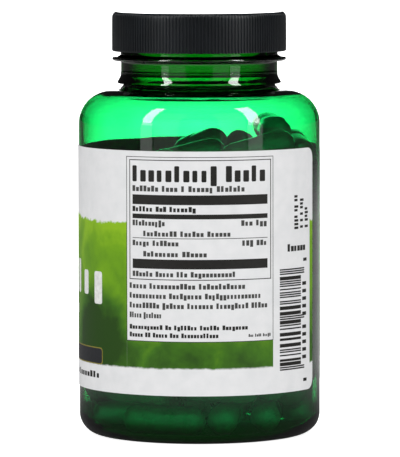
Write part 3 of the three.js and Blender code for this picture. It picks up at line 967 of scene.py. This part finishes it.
def by_ray(tree, kinds):
    """One number for each kind of ray: the last kind in the list that fits wins."""
    ray = tree.nodes.new("ShaderNodeLightPath")
    shown = None
    for kind, value in kinds:
        mix = node(tree, "ShaderNodeMix", data_type="FLOAT")
        mix.inputs["Factor"].default_value = 1.0
        if kind:
            tree.links.new(ray.outputs[kind], mix.inputs["Factor"])
            tree.links.new(shown, mix.inputs["A"])
        if isinstance(value, float):
            mix.inputs["B"].default_value = value
        else:
            tree.links.new(value, mix.inputs["B"])
        shown = mix.outputs["Result"]
    return shown


def build_world():
    """Soft studio surroundings: a white backdrop straight behind the bottle, and a dim room round it."""
    world = bpy.data.worlds.new("studio")
    world.use_nodes = True
    bpy.context.scene.world = world
    tree = world.node_tree
    tree.nodes.clear()
    output = tree.nodes.new("ShaderNodeOutputWorld")
    direction = tree.nodes.new("ShaderNodeTexCoord").outputs["Generated"]
    axes = node(tree, "ShaderNodeSeparateXYZ", links={"Vector": direction})
    slope = sideways(tree, axes)
    low = ramp_node(tree, axes.outputs["Z"], 0.2, 0.5, 1.0, 0.0)
    behind = product(tree, low, ramp_node(tree, axes.outputs["Y"], 0.0, 0.3, 0.0, 1.0))
    backdrop = product(tree, ramp_node(tree, slope, *WIDE, BACKLIGHT, 0.0), behind)
    front = ramp_node(tree, axes.outputs["Y"], -0.35, 0.1, FRONT_GLOW, 0.02)
    through = total(tree, backdrop, front)
    narrow = product(tree, ramp_node(tree, slope, *NARROW, BACKLIGHT, 0.0), behind)
    mirrored = node(tree, "ShaderNodeMath", {1: 0.02}, {0: narrow}, operation="ADD").outputs[0]
    strength = by_ray(tree, (
        (None, AMBIENT), ("Is Glossy Ray", mirrored), ("Is Diffuse Ray", AMBIENT),
        ("Is Transmission Ray", through), ("Is Camera Ray", 1.05),
    ))
    shown = node(tree, "ShaderNodeBackground", links={"Strength": strength})
    shown.inputs["Color"].default_value = (1, 1, 1, 1)
    tree.links.new(shown.outputs[0], output.inputs["Surface"])


def floor_material():
    """A pale sweep of paper, white to look at, with painted light for other rays: a glow behind and far off,
    a glow in front, painted shade close round the bottle and a painted shadow under it.
    """
    material, tree, shader, _, place = new_material("pale_paper_sweep")
    shader.inputs["Roughness"].default_value = 0.9
    shader.inputs["Specular IOR Level"].default_value = 0.0
    shader.inputs["Emission Color"].default_value = (1, 1, 1, 1)
    tone = by_ray(tree, ((None, 0.08), ("Is Camera Ray", 0.87)))
    tree.links.new(tone, shader.inputs["Base Color"])
    axes = node(tree, "ShaderNodeSeparateXYZ", links={"Vector": place})
    slope = sideways(tree, axes)
    wide = ramp_node(tree, slope, *WIDE, BACKLIGHT, 0.0)
    narrow = ramp_node(tree, slope, *NARROW, BACKLIGHT, 0.0)
    # Painted light: the floor glows behind the bottle to what is seen through the plastic
    behind = product(tree, wide, ramp_node(tree, axes.outputs["Y"], 0.045, 0.09, 0.0, 1.0))
    # Painted reflections: to the gloss, the floor glows in a strip far behind the bottle and in a ring round
    # it, with painted shade close to the bottle, fading far off
    painted_far_reflection = product(tree, narrow, ramp_node(tree, axes.outputs["Y"], 0.4, 1.0, 0.0, 1.0))
    reach = node(tree, "ShaderNodeVectorMath", links={0: place}, operation="LENGTH").outputs["Value"]
    painted_near_reflection = product(
        tree, ramp_node(tree, reach, 0.05, 0.22, 0.03, 0.45), ramp_node(tree, reach, 0.7, 1.4, 1.0, 0.04),
    )
    mirrored = total(tree, painted_far_reflection, painted_near_reflection)
    # Painted light: a glow on the floor in front, strongest close to the bottle, for what is seen through the
    # plastic
    before = ramp_node(tree, axes.outputs["Y"], -0.06, 0.02, 1.0, 0.0)
    front = product(tree, ramp_node(tree, reach, 0.1, 0.6, 1.4, 0.1), before)
    # Painted shadow: the floor's glow, as seen through the plastic, is cut down right under the bottle
    painted_shadow_under_bottle = ramp_node(tree, reach, 0.028, 0.045, 0.15, 1.0)
    through = total(tree, behind, product(tree, front, painted_shadow_under_bottle))
    seen = by_ray(tree, (
        (None, 0.0), ("Is Glossy Ray", mirrored), ("Is Diffuse Ray", 0.55), ("Is Transmission Ray", through),
        ("Is Camera Ray", 0.9),
    ))
    tree.links.new(seen, shader.inputs["Emission Strength"])
    return material


def build_stage(settings):
    """The floor, the lights, the surroundings and the camera."""
    bm = bmesh.new()
    bmesh.ops.create_circle(bm, cap_ends=True, segments=96, radius=9.0)
    mesh = bpy.data.meshes.new("floor")
    bm.to_mesh(mesh)
    bm.free()
    mesh.materials.append(floor_material())
    floor = bpy.data.objects.new("floor", mesh)
    bpy.context.scene.collection.objects.link(floor)
    build_world()
    # On each side: a tall bright box that leans outwards, two dimmer ones at its foot, a faint panel
    for side, azimuth, wide, lean, lower, lower_wide, inner in (
        ("left", -55.5, 12.5, 10, -51, 12, -32), ("right", 60, 15, -14, 54, 16, 32),
    ):
        box = soft_box(side + "_box", azimuth, low=14, high=63, degrees=wide, radiance=12.0)
        box.rotation_euler.rotate_axis("Z", math.radians(lean))
        soft_box(side + "_box_low", lower, low=8, high=14, degrees=wide * 0.9, radiance=4.5)
        soft_box(side + "_box_foot", lower, low=-4, high=8, degrees=lower_wide, radiance=1.2)
        soft_box(side + "_panel", inner, low=-6, high=50, degrees=28, radiance=0.35)
    fill = area_light("front_fill", (0, -1.6, 1.1), size=(1.6, 1.0), energy=8.0, target=(0, 0, 0.06))
    fill.visible_glossy = False

    data = bpy.data.cameras.new("camera")
    data.lens = settings.lens
    data.sensor_width = 36
    data.dof.use_dof = False
    data.clip_start = 0.01
    camera = bpy.data.objects.new("camera", data)
    camera.location = (settings.aside, -settings.distance, settings.eye)
    aim_height = 0.05602
    aim = Vector((settings.aside, 0, aim_height)) - camera.location
    camera.rotation_euler = aim.to_track_quat("-Z", "Y").to_euler()
    camera.rotation_euler.rotate_axis("Z", settings.lean)
    bpy.context.scene.collection.objects.link(camera)
    bpy.context.scene.camera = camera
    bpy.context.scene.view_settings.view_transform = "Standard"


# Operators


class BOTTLE_OT_stage(bpy.types.Operator):
    """Add the floor, the studio light and the camera"""

    bl_idname = "bottle.stage"
    bl_label = "Stage"

    def execute(self, context):
        build_stage(context.scene.stage_settings)
        return {"FINISHED"}


class BOTTLE_OT_bottle(bpy.types.Operator):
    """Add the blown green bottle with its neck thread"""

    bl_idname = "bottle.bottle"
    bl_label = "Bottle"

    def execute(self, context):
        add_bottle(context.scene.bottle_settings)
        return {"FINISHED"}


class BOTTLE_OT_cap(bpy.types.Operator):
    """Add the ribbed screw cap"""

    bl_idname = "bottle.cap"
    bl_label = "Cap"

    def execute(self, context):
        add_cap(context.scene.cap_settings)
        return {"FINISHED"}


class BOTTLE_OT_liner(bpy.types.Operator):
    """Add the sealing disc inside the cap"""

    bl_idname = "bottle.liner"
    bl_label = "Liner"

    def execute(self, context):
        add_liner()
        return {"FINISHED"}


class BOTTLE_OT_label(bpy.types.Operator):
    """Add the wrap label and its print"""

    bl_idname = "bottle.label"
    bl_label = "Label"

    def execute(self, context):
        add_label_sheet(context.scene.label_settings)
        add_label_print(context.scene.label_settings)
        return {"FINISHED"}


class BOTTLE_OT_capsules(bpy.types.Operator):
    """Add the two-part capsules"""

    bl_idname = "bottle.capsules"
    bl_label = "Capsules"

    def execute(self, context):
        add_capsules(context.scene.capsule_settings)
        return {"FINISHED"}


OPERATORS = (
    BOTTLE_OT_stage, BOTTLE_OT_bottle, BOTTLE_OT_cap, BOTTLE_OT_liner, BOTTLE_OT_label, BOTTLE_OT_capsules,
)


class BOTTLE_PT_panel(bpy.types.Panel):
    """Lists the bottle's pieces and settings in the sidebar"""

    bl_idname = "BOTTLE_PT_panel"
    bl_label = "Supplement Bottle"
    bl_space_type = "VIEW_3D"
    bl_region_type = "UI"
    bl_category = "Bottle"

    def draw(self, context):
        for name, group in SETTINGS.items():
            box = self.layout.box()
            for key in group.__annotations__:
                box.prop(getattr(context.scene, name), key)
        for operator in OPERATORS:
            self.layout.operator(operator.bl_idname)


CLASSES = (*SETTINGS.values(), *OPERATORS, BOTTLE_PT_panel)


def register():
    """Makes the settings, the operators and the panel known."""
    for made in CLASSES:
        bpy.utils.register_class(made)
    for name, group in SETTINGS.items():
        setattr(bpy.types.Scene, name, PointerProperty(type=group))


def unregister():
    """Takes them out again."""
    for name in SETTINGS:
        delattr(bpy.types.Scene, name)
    for made in reversed(CLASSES):
        bpy.utils.unregister_class(made)


def main():
    """Builds everything in order."""
    register()
    bpy.ops.bottle.stage()
    bpy.ops.bottle.bottle()
    bpy.ops.bottle.cap()
    bpy.ops.bottle.liner()
    bpy.ops.bottle.label()
    bpy.ops.bottle.capsules()
    bpy.context.view_layer.update()


if __name__ == "__main__":
    main()
